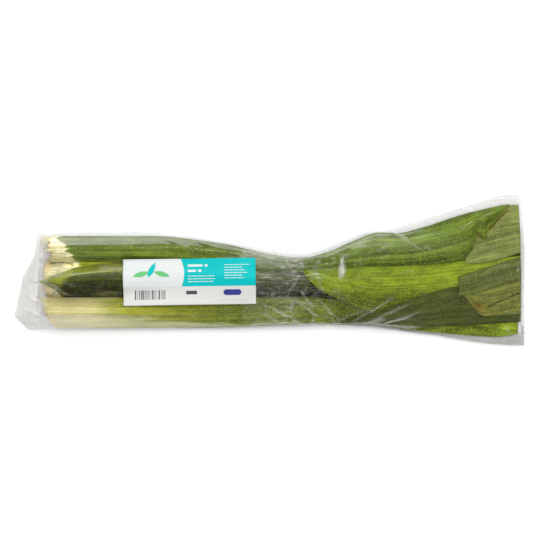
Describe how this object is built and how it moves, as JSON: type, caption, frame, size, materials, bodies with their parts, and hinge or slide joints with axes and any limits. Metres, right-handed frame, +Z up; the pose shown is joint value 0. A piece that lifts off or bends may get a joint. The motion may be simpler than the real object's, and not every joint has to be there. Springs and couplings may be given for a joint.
{
  "type": "bagged bunch of pandan leaves",
  "caption": "Long bunch of pandan leaves, cut bases at one end and leaf tips folded back at the other, in a clear film bag with a stuck-on label.",
  "frame": {"origin": "centre of the footprint, on the surface that the bag lies on", "axes": "+X along the bunch from the cut bases and the bag's mouth towards the folded ends and the seal, +Y across it, +Z up"},
  "size_m": [0.4196, 0.1246, 0.0296],
  "materials": {
    "clear_film": "thin clear glossy film, slightly milky",
    "label_paper": "smooth white printed label with a blue-green panel",
    "leaf_green": "mid green leaf, satin, with parallel veins",
    "leaf_dark": "dark green leaf, satin, with parallel veins",
    "leaf_bright": "yellow-green leaf, satin, with parallel veins",
    "leaf_pale": "pale grey-green underside of a leaf, matt",
    "leaf_cream": "cream fleshy leaf base turning green, satin"
  },
  "bodies": {
    "root": {"film_bag": "clear_film", "label": "label_paper", "folded_leaf_short": "leaf_pale", "folded_leaf_narrow": "leaf_pale", "folded_leaf_upper": "leaf_pale", "folded_leaf_dark": "leaf_dark", "folded_leaf_bright": "leaf_bright", "inner_leaf_1": "leaf_green", "inner_leaf_2": "leaf_green", "inner_leaf_3": "leaf_green", "inner_leaf_4": "leaf_green", "inner_leaf_5": "leaf_green", "inner_leaf_6": "leaf_cream", "inner_leaf_7": "leaf_pale", "leaf_lower_edge": "leaf_bright", "leaf_top_front": "leaf_cream", "leaf_top_middle": "leaf_dark", "leaf_top_back": "leaf_green"}
  },
  "joints": []
}
